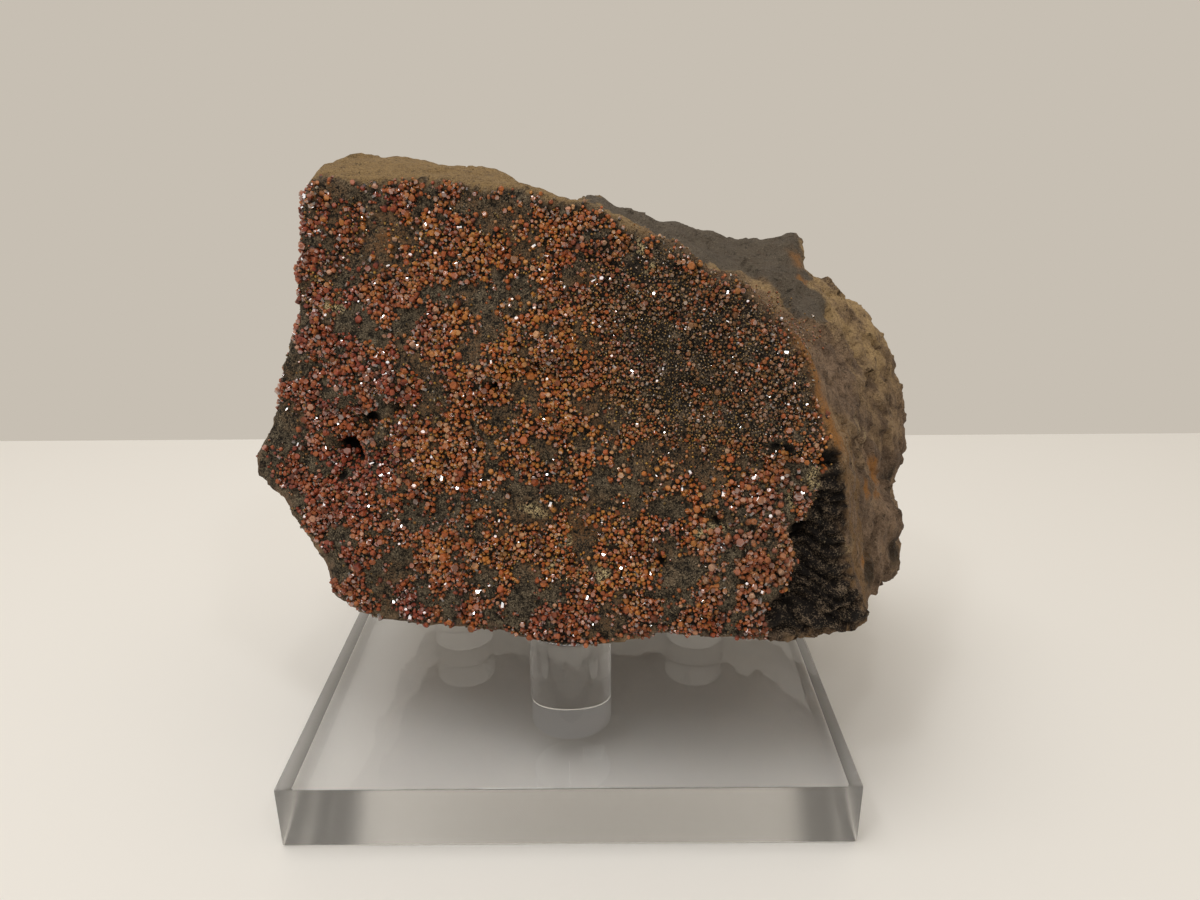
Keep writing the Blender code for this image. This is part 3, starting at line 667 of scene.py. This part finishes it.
# The crystals: short six-sided prisms with a bevelled end, grown by a node tree over the face
crystal = {"height": 1.05, "root": 0.6, "bevel": 0.2, "plainShapes": 5, "bevelledShapes": 8}
layers = {
    "vanadiniteLarge": {"where": "growth", "spacing": 2.5, "keep": 0.4, "sizes": (0.48, 0.7), "tilt": 0.8,
                        "sink": 0.15, "seed": 3, "shapes": "bevelled", "finish": "vanadinite"},
    "vanadinite": {"where": "growth", "spacing": 0.76, "keep": 0.95, "sizes": (0.29, 0.48), "tilt": 0.95,
                   "sink": 0.1, "seed": 8, "shapes": "bevelled", "finish": "vanadinite"},
    "vanadiniteSmall": {"where": "growth", "spacing": 0.52, "keep": 0.8, "sizes": (0.2, 0.34), "tilt": 1.1,
                        "sink": 0, "seed": 15, "shapes": "plain", "finish": "vanadinite"},
    "vanadiniteDruse": {"where": "druse", "spacing": 0.43, "keep": 0.95, "sizes": (0.12, 0.22), "tilt": 1.1,
                        "sink": 0, "seed": 21, "shapes": "plain", "finish": "druse"},
    "matrixGrains": {"where": "grit", "spacing": 0.44, "keep": 1, "sizes": (0.12, 0.24), "tilt": 1.2,
                     "sink": 0.3, "seed": 34, "shapes": "grain", "finish": "matrixRock"},
}


def prismMesh(name, levels, stretch):
    # rings of six corners from foot to tip; the tip attribute grows from 0 to 1 on the way
    bm = bmesh.new()
    tip = bm.verts.layers.float.new("tip")
    loops = []
    for height, radius, share in levels:
        loop = []
        for side, wide in enumerate(stretch):
            turn = math.tau * side / len(stretch)
            vert = bm.verts.new((radius * wide * math.cos(turn), radius * wide * math.sin(turn), height))
            vert[tip] = share
            loop.append(vert)
        loops.append(loop)
    for lower, upper in zip(loops, loops[1:]):
        for side in range(len(stretch)):
            after = (side + 1) % len(stretch)
            bm.faces.new((lower[side], lower[after], upper[after], upper[side]))
    bm.faces.new(loops[-1])
    bm.faces.new(loops[0][::-1])
    return meshFrom(bm, name)


def grainMesh(name, draw):  # a small lump with eight faces
    bm = bmesh.new()
    middle = [bm.verts.new((wide * x, wide * y, 0)) for (x, y), wide in
              zip(((1, 0), (0, 1), (-1, 0), (0, -1)), draw.uniform(0.75, 1.2, 4))]
    ends = [bm.verts.new((0, 0, z)) for z in (-0.9, 0.9)]
    for side in range(4):
        pair = (middle[side], middle[(side + 1) % 4])
        bm.faces.new((*pair, ends[1]))
        bm.faces.new((*pair[::-1], ends[0]))
    return meshFrom(bm, name)


def shapeMeshes(kind):
    if kind == "grain":
        return [grainMesh(f"grain{index}", np.random.default_rng(index)) for index in range(3)]
    meshes = []
    for index in range(crystal[kind + "Shapes"]):
        draw = np.random.default_rng(index + 5)
        tall = crystal["height"] * draw.uniform(0.6, 1.9)
        bevel = crystal["bevel"] * draw.uniform(0.6, 1.4)
        levels = [(-crystal["root"], 0.9, 0), (tall - bevel, 1, 0.8), (tall, 1 - bevel * 1.2, 1)]
        if kind == "plain":
            levels = [(-crystal["root"], 0.95, 0), (tall, 0.8, 1)]
        meshes.append(prismMesh(f"{kind}{index}", levels, draw.uniform(0.85, 1.15, 6)))
    return meshes


def shapeCollection(kind):
    shapes = bpy.data.collections.new(kind + "Shapes")
    for mesh in shapeMeshes(kind):
        shapes.objects.link(bpy.data.objects.new(mesh.name, mesh))
    return shapes


class Growth:  # the node tree that scatters points over a face and grows a shape on each
    def __init__(self):
        self.tree = bpy.data.node_groups.new("growCrystals", "GeometryNodeTree")
        sockets = {"Where": "String", "Spacing": "Float", "Density": "Float", "Keep": "Float",
                   "Smallest": "Float", "Largest": "Float", "Tilt": "Float", "Sink": "Float",
                   "Seed": "Int", "Shapes": "Collection", "Finish": "Material"}
        self.socket("Geometry", "Geometry", "INPUT")
        self.socket("Geometry", "Geometry", "OUTPUT")
        for name, kind in sockets.items():
            self.socket(name, kind, "INPUT")
        self.given = self.tree.nodes.new("NodeGroupInput").outputs
        self.build()

    def socket(self, name, kind, way):
        self.tree.interface.new_socket(name, in_out=way, socket_type="NodeSocket" + kind)

    def node(self, kind, settings, values):
        full = "GeometryNode" + kind
        made = self.tree.nodes.new(full if hasattr(bpy.types, full) else kind)
        for key, value in settings.items():
            setattr(made, key, value)
        for key, value in values.items():
            if isinstance(value, bpy.types.NodeSocket):
                self.tree.links.new(value, made.inputs[key])
            else:
                made.inputs[key].default_value = value
        return made.outputs

    def times(self, first, second):
        return self.node("ShaderNodeMath", {"operation": "MULTIPLY"}, {0: first, 1: second})[0]

    def named(self, name):
        return self.node("InputNamedAttribute", {"data_type": "FLOAT"}, {"Name": name})[0]

    def random(self, low, high, seed):
        values = {2: low, 3: high, "Seed": seed}
        return self.node("FunctionNodeRandomValue", {"data_type": "FLOAT"}, values)[1]

    def build(self):
        given = self.given
        density = self.times(self.named(given["Where"]), given["Keep"])
        spread = self.node("DistributePointsOnFaces", {"distribute_method": "POISSON"},
                           {"Mesh": given["Geometry"], "Distance Min": given["Spacing"],
                            "Density Max": given["Density"], "Density Factor": density,
                            "Seed": given["Seed"]})
        size = self.times(self.random(given["Smallest"], given["Largest"], 5), self.named("grainSize"))
        lean = self.node("ShaderNodeCombineXYZ", {}, {
            axis: self.times(self.random(-1.0, 1.0, 17 + axis), given["Tilt"]) for axis in range(2)})[0]
        turn = self.node("FunctionNodeRotateRotation", {"rotation_space": "LOCAL"}, {
            0: spread["Rotation"], 1: self.node("FunctionNodeEulerToRotation", {}, {0: lean})[0]})[0]
        inward = self.node("ShaderNodeVectorMath", {"operation": "SCALE"}, {
            0: spread["Normal"], "Scale": self.times(self.times(size, given["Sink"]), -1.0)})[0]
        points = self.node("SetPosition", {}, {0: spread["Points"], "Offset": inward})[0]
        points = self.node("StoreNamedAttribute", {"data_type": "FLOAT", "domain": "POINT"}, {
            0: points, "Name": "tone", "Value": self.random(0.0, 1.0, 11)})[0]
        kinds = self.node("CollectionInfo", {}, {
            "Collection": given["Shapes"], "Separate Children": True, "Reset Children": True})[0]
        placed = self.node("InstanceOnPoints", {}, {
            "Points": points, "Instance": kinds, "Pick Instance": True, "Rotation": turn, "Scale": size})[0]
        real = self.node("RealizeInstances", {}, {0: placed})[0]
        done = self.node("SetMaterial", {}, {0: real, "Material": given["Finish"]})[0]
        self.tree.links.new(done, self.tree.nodes.new("NodeGroupOutput").inputs[0])

    def grow(self, name, mesh, values):
        piece = newObject(name, mesh.copy())
        modifier = piece.modifiers.new("grow", "NODES")
        modifier.node_group = self.tree
        for item in self.tree.interface.items_tree:
            if item.in_out == "INPUT" and item.name in values:
                modifier[item.identifier] = values[item.name]
        return bake(piece)


# Vanadinite: red to orange brown and resinous; each crystal is painted dark towards its foot as shade
# between the crystals
vanadiniteColors = {
    "deepRed": rgb(126, 48, 30), "red": rgb(164, 74, 44), "orange": rgb(180, 90, 36),
    "amber": rgb(194, 132, 54), "pinkBrown": rgb(140, 84, 64), "brown": rgb(116, 86, 56),
    # foot is a near black: it paints shade at each crystal's foot and in 3 mm patches, and darkens fine
    # random specks
    "foot": rgb(20, 10, 6), "pale": rgb(206, 176, 154), "gold": rgb(192, 144, 58),
    "olive": rgb(134, 112, 64), "umber": rgb(60, 40, 24),
}
resin = {"ior": 1.55, "coatIor": 2.4, "coatRoughness": 0.04, "dull": 0.5, "polish": 0.42,
         "clean": (0.4, 0.48)}


def glintOf(made, tone):  # 1 on two crystals of five, whose faces are clean enough to mirror a lamp
    draw = made.node("ShaderNodeMath", {"operation": "FRACT"}, {0: tone * 7})
    return 1 - made.ramp(draw, *resin["clean"])


def crystalShader(made, color, glint):
    return made.set(Base_Color=color, Roughness=resin["dull"] - resin["polish"] * glint, IOR=resin["ior"],
                    Coat_Weight=glint, Coat_IOR=resin["coatIor"], Coat_Roughness=resin["coatRoughness"],
                    Normal=made.bump(made.noise(0.0002, 2), 0.00001, 0.2))


def vanadiniteFinish():
    made = Finish("vanadinite")
    c = vanadiniteColors
    tone, tip, fineZone = (made.attribute(name) for name in ("tone", "tip", "fineZone"))
    warm = made.mix(made.ramp(tone, 0.1, 1.1), c["orange"], c["amber"])
    red = made.mix(tone, c["deepRed"], c["red"])
    reds = made.attribute("redness") * 0.7 + made.ramp(made.noise(0.007, 2), 0.46, 0.66) * 0.6
    color = made.mix(reds.clamped(), warm, red)
    color = made.mix(made.attribute("golden") * made.ramp(tone, 0.5, 0.8) * 0.5, color, c["amber"])
    color = made.mix(made.attribute("knobZone") * 0.5, color, c["pinkBrown"])
    color = made.mix(fineZone * made.ramp(tone, 0.2, 0.5) * 0.75, color, c["brown"])
    color = made.mix((1 - made.ramp(tone, 0.04, 0.2)) * 0.6, color, c["umber"])
    color = made.mix(made.ramp(tone, 0.93 - 0.12 * fineZone, 0.99) * 0.5, color, c["pale"])
    # painted shade: each crystal darkens towards its foot
    color = made.mix(1 - made.ramp(tip, 0.1, 0.8), color, c["foot"])
    color = made.mix(made.ramp(made.noise(0.0005, 2), 0.5, 0.68) * 0.4, color, c["foot"])
    # painted shade: dark 3 mm patches over the crystals stand for shadowed zones
    color = made.mix(made.ramp(made.noise(0.0032, 3), 0.5, 0.64) * 0.5, color, c["foot"])
    return crystalShader(made, color, glintOf(made, tone))


def druseFinish():
    made = Finish("vanadiniteDruse")
    c = vanadiniteColors
    tone, tip, golden = (made.attribute(name) for name in ("tone", "tip", "golden"))
    plain = made.mix(made.ramp(tone, 0.3, 0.6), c["umber"], c["brown"])
    plain = made.mix(made.ramp(tone, 0.7, 0.9) * (0.3 + 0.6 * made.attribute("redness")), plain, c["red"])
    bright = made.mix(made.ramp(tone, 0.2, 0.5), c["olive"], c["gold"])
    bright = made.mix(made.ramp(tone, 0.6, 0.75), bright, c["orange"])
    color = made.mix((golden * 0.9 + 0.4).clamped(), plain, bright)
    color = made.mix(made.attribute("fineZone") * made.ramp(tone, 0.4, 0.6) * 0.8, color, c["olive"])
    # painted shade: each druse crystal darkens towards its foot
    color = made.mix((1 - made.ramp(tip, 0.1, 0.8)) * 0.9, color, c["foot"])
    return crystalShader(made, color, 0.6 * glintOf(made, tone))


def growCrystals():
    growth = Growth()
    finishes = {"vanadinite": vanadiniteFinish(), "druse": druseFinish(),
                "matrixRock": matrixRock.data.materials[0]}
    shapes = {kind: shapeCollection(kind) for kind in ("plain", "bevelled", "grain")}
    for name, layer in layers.items():
        spacing = layer["spacing"] * mm
        smallest, largest = (size * mm for size in layer["sizes"])
        values = {"Where": layer["where"], "Spacing": spacing, "Density": 3 / spacing**2,
                  "Keep": layer["keep"], "Smallest": smallest, "Largest": largest, "Tilt": layer["tilt"],
                  "Sink": layer["sink"], "Seed": layer["seed"], "Shapes": shapes[layer["shapes"]],
                  "Finish": finishes[layer["finish"]]}
        piece = growth.grow(name, matrixRock.data, values)
        print(name, "triangles:", sum(len(face.vertices) - 2 for face in piece.data.polygons))
        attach(piece, "root")
    for kind in shapes.values():
        for shape in list(kind.objects):
            dropObject(shape)
        bpy.data.collections.remove(kind)


growCrystals()
print("crystals grown")


# The clear stand: a block with satin and frosted sides, and three rods on it with a ground foot
acrylic = {
    "edge": 0.3, "rim": 0.4, "sides": 96, "seam": 0.03, "ior": 1.49, "soft": 20, "along": 0.9,
    "satin": 0.27, "frosted": 0.45, "ground": 0.6, "groundClear": 0.3,
}


def clearFinish(name, roughness, clear=1.0):
    return Finish(name).set(Base_Color=(1, 1, 1, 1), Roughness=roughness, IOR=acrylic["ior"],
                            Transmission_Weight=clear)


def isAlong(share):  # share is how much of a normal points along an axis
    return share > acrylic["along"]


def sharpenEdges(bm):  # level faces stay flat; the upright ones round off a little towards their ends
    bm.normal_update()
    for edge in bm.edges:
        level = any(isAlong(abs(face.normal.z)) for face in edge.link_faces)
        edge.smooth = not level and edge.calc_face_angle(0) < math.radians(acrylic["soft"])


def rodMesh(name, foot):  # a turned rod from its foot up, with a rounded rim at both ends
    low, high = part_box(name)
    middle = (low + high) / 2
    radius, rim = (high.x - low.x) / 2, acrylic["rim"] * mm
    profile = [(radius - rim / 2, foot), (radius, foot + rim / 2), (radius, high.z - rim),
               (radius - rim * 0.3, high.z - rim * 0.3), (radius - rim, high.z)]
    turns = [math.tau * side / acrylic["sides"] for side in range(acrylic["sides"])]
    bm = bmesh.new()
    loops = [[bm.verts.new((middle.x + wide * math.cos(turn), middle.y + wide * math.sin(turn), height))
              for turn in turns] for wide, height in profile]
    for lower, upper in zip(loops, loops[1:]):
        for side in range(acrylic["sides"]):
            after = (side + 1) % acrylic["sides"]
            bm.faces.new((lower[side], lower[after], upper[after], upper[side]))
    bm.faces.new(loops[0][::-1])
    bm.faces.new(loops[-1])
    sharpenEdges(bm)
    return meshFrom(bm, name + "Rod")


def blockMesh(low, high):
    bm = bmesh.new()
    bmesh.ops.create_cube(bm, size=1)
    bmesh.ops.scale(bm, verts=bm.verts, vec=high - low)
    bmesh.ops.translate(bm, verts=bm.verts, vec=(low + high) / 2)
    bmesh.ops.bevel(bm, geom=bm.edges, offset=acrylic["edge"] * mm, segments=2, profile=0.6, affect="EDGES")
    sharpenEdges(bm)
    return meshFrom(bm, "standBlock")


def finishStandPiece(made, materials, pick, replaced):
    made.data.materials.clear()
    for material in materials:
        made.data.materials.append(material)
    for face in made.data.polygons:
        face.material_index = pick(face.normal)
    made.data.shade_smooth()
    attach(made, "root")
    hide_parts(replaced)


def blockSide(normal):  # 0 is polished, 1 satin and 2 frosted
    if isAlong(abs(normal.z)):
        return 0
    return 2 if isAlong(abs(normal.x)) else 1


def rodSide(normal):  # 1 is the ground foot
    return int(isAlong(-normal.z))


def makeStand():
    polished = clearFinish("clearAcrylic", 0.0)
    satin, frosted = (clearFinish(name + "Acrylic", acrylic[name]) for name in ("satin", "frosted"))
    ground = clearFinish("groundAcrylic", acrylic["ground"], acrylic["groundClear"])
    low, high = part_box("stand_base")
    block = newObject("standBlock", blockMesh(low, high))
    finishStandPiece(block, [polished, satin, frosted], blockSide, "stand_base")
    for name in rods:
        rod = newObject(name + "Rod", rodMesh(name, high.z + acrylic["seam"] * mm))
        finishStandPiece(rod, [polished, ground], rodSide, name)


makeStand()
print("stand finished")


# A plain pale floor that ends behind the object, before a backdrop that is the world's own colour
stage = {
    "drop": 0.2, "wide": 3000, "front": -3000, "back": 162, "floor": rgb(240, 238, 234),
    "backdrop": rgb(199, 191, 179), "roomLight": 0.5, "roomEnd": -0.75, "wallLight": 1.2,
    "wallStart": 0.05, "aim": Vector((0, 0, 0.06)),
}


def makeFloor():
    bm = bmesh.new()
    side = stage["wide"] / 2
    front, back = stage["front"], stage["back"]
    corners = [(-side, front), (side, front), (side, back), (-side, back)]
    bm.faces.new([bm.verts.new(Vector((x, y, -stage["drop"])) * mm) for x, y in corners])
    made = newObject("floor", meshFrom(bm, "floor"))
    finish = Finish("floor")
    made.data.materials.append(finish.set(Base_Color=stage["floor"], Roughness=0.6, Specular_IOR_Level=0.2))


makeFloor()

# Soft light from above, and smaller lamps that the facets glint in
lamps = {
    "ceiling": {"place": (-0.16, -0.04, 0.66), "size": 0.34, "power": 1.15},
    "spotLeft": {"place": (-0.2, -0.26, 0.52), "size": 0.06, "power": 0.22},
    "spotMiddle": {"place": (0.03, -0.2, 0.58), "size": 0.06, "power": 0.22},
    "spotRight": {"place": (0.2, -0.32, 0.5), "size": 0.06, "power": 0.18},
    "spotFront": {"place": (-0.05, -0.45, 0.4), "size": 0.06, "power": 0.18},
}


def makeLights():
    for name, lamp in lamps.items():
        data = bpy.data.lights.new(name, "AREA")
        data.size = lamp["size"]
        data.energy = lamp["power"]
        made = bpy.data.objects.new(name, data)
        bpy.context.scene.collection.objects.link(made)
        made.location = lamp["place"]
        made.rotation_euler = (stage["aim"] - made.location).to_track_quat("-Z", "Y").to_euler()
    world = bpy.data.worlds.new("world")
    bpy.context.scene.world = world
    world.use_nodes = True
    nodes, links = world.node_tree.nodes, world.node_tree.links
    nodes["Background"].inputs["Color"].default_value = stage["backdrop"]
    way = nodes.new("ShaderNodeSeparateXYZ")
    links.new(nodes.new("ShaderNodeTexCoord").outputs["Generated"], way.inputs[0])
    front = nodes.new("ShaderNodeMapRange")
    front.interpolation_type = "SMOOTHSTEP"
    limits = {"From Min": stage["roomEnd"], "From Max": stage["wallStart"],
              "To Min": stage["roomLight"], "To Max": stage["wallLight"]}
    for key, value in limits.items():
        front.inputs[key].default_value = value
    links.new(way.outputs[1], front.inputs["Value"])
    seen = nodes.new("ShaderNodeMix")
    links.new(nodes.new("ShaderNodeLightPath").outputs["Is Camera Ray"], seen.inputs[0])
    links.new(front.outputs[0], seen.inputs[2])
    seen.inputs[3].default_value = 1.0
    links.new(seen.outputs[0], nodes["Background"].inputs["Strength"])
    bpy.context.scene.view_settings.view_transform = "Standard"


makeLights()
print("stage and lights ready")
